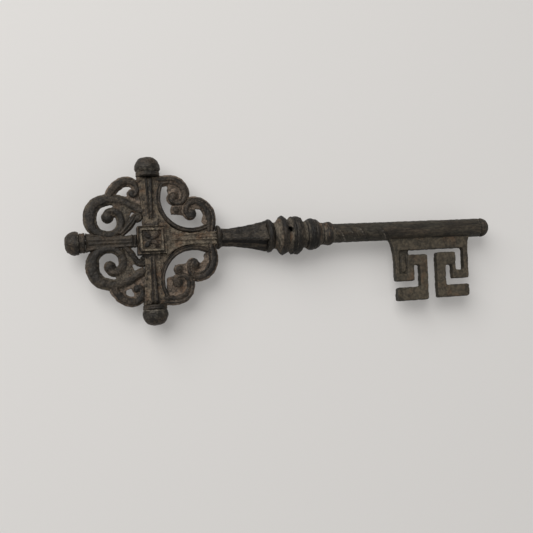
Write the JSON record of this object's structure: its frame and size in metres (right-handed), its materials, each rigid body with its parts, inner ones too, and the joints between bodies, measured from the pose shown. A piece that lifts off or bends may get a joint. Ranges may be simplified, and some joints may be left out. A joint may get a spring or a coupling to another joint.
{
  "type": "decorative skeleton key",
  "caption": "Large decorative skeleton key in worn dark cast iron: scrollwork cross bow with ball finials, turned knop, round shank and meander-cut bit.",
  "frame": {"origin": "middle of the bounding box's lowest face, on the surface that the key lies on", "axes": "+X along the shank from the bow to the tip, +Y along the bow's cross away from the bit, +Z out of the front face"},
  "size_m": [0.254, 0.0936, 0.0235],
  "materials": {
    "dark_iron": "worn matte dark patina on rough cast iron",
    "brown_iron": "dark patina worn to brown, dust in the pits",
    "dusty_iron": "matte tan dust and light rust over dark cast iron"
  },
  "bodies": {
    "root": {"centre_hub": "brown_iron", "front_centre_frame": "dusty_iron", "front_centre_ornament": "brown_iron", "back_centre_frame": "dusty_iron", "back_centre_ornament": "brown_iron", "top_arm": "dusty_iron", "bottom_arm": "dusty_iron", "left_arm": "dark_iron", "right_arm": "dusty_iron", "upper_arc_moulding": "dark_iron", "upper_large_scroll": "dark_iron", "upper_small_scroll": "dark_iron", "upper_hook_scroll": "dark_iron", "upper_side_lobe_scroll": "dark_iron", "upper_end_lobe_scroll": "dark_iron", "upper_bud": "dark_iron", "lower_arc_moulding": "dark_iron", "lower_large_scroll": "dark_iron", "lower_small_scroll": "dark_iron", "lower_hook_scroll": "dark_iron", "lower_side_lobe_scroll": "dark_iron", "lower_end_lobe_scroll": "dark_iron", "lower_bud": "dark_iron", "top_collar": "dark_iron", "top_finial": "dark_iron", "bottom_collar": "dark_iron", "bottom_finial": "dark_iron", "left_collar": "dark_iron", "left_finial": "dark_iron", "neck_ring": "dark_iron", "square_neck": "dark_iron", "tang": "brown_iron", "knop_front_ring": "dark_iron", "knop_body": "dark_iron", "cross_pin": "brown_iron", "knop_rear_bead": "dark_iron", "knop_end_ring": "dark_iron", "shank": "dark_iron", "shank_tip": "dark_iron", "bit": "brown_iron"}
  },
  "joints": []
}
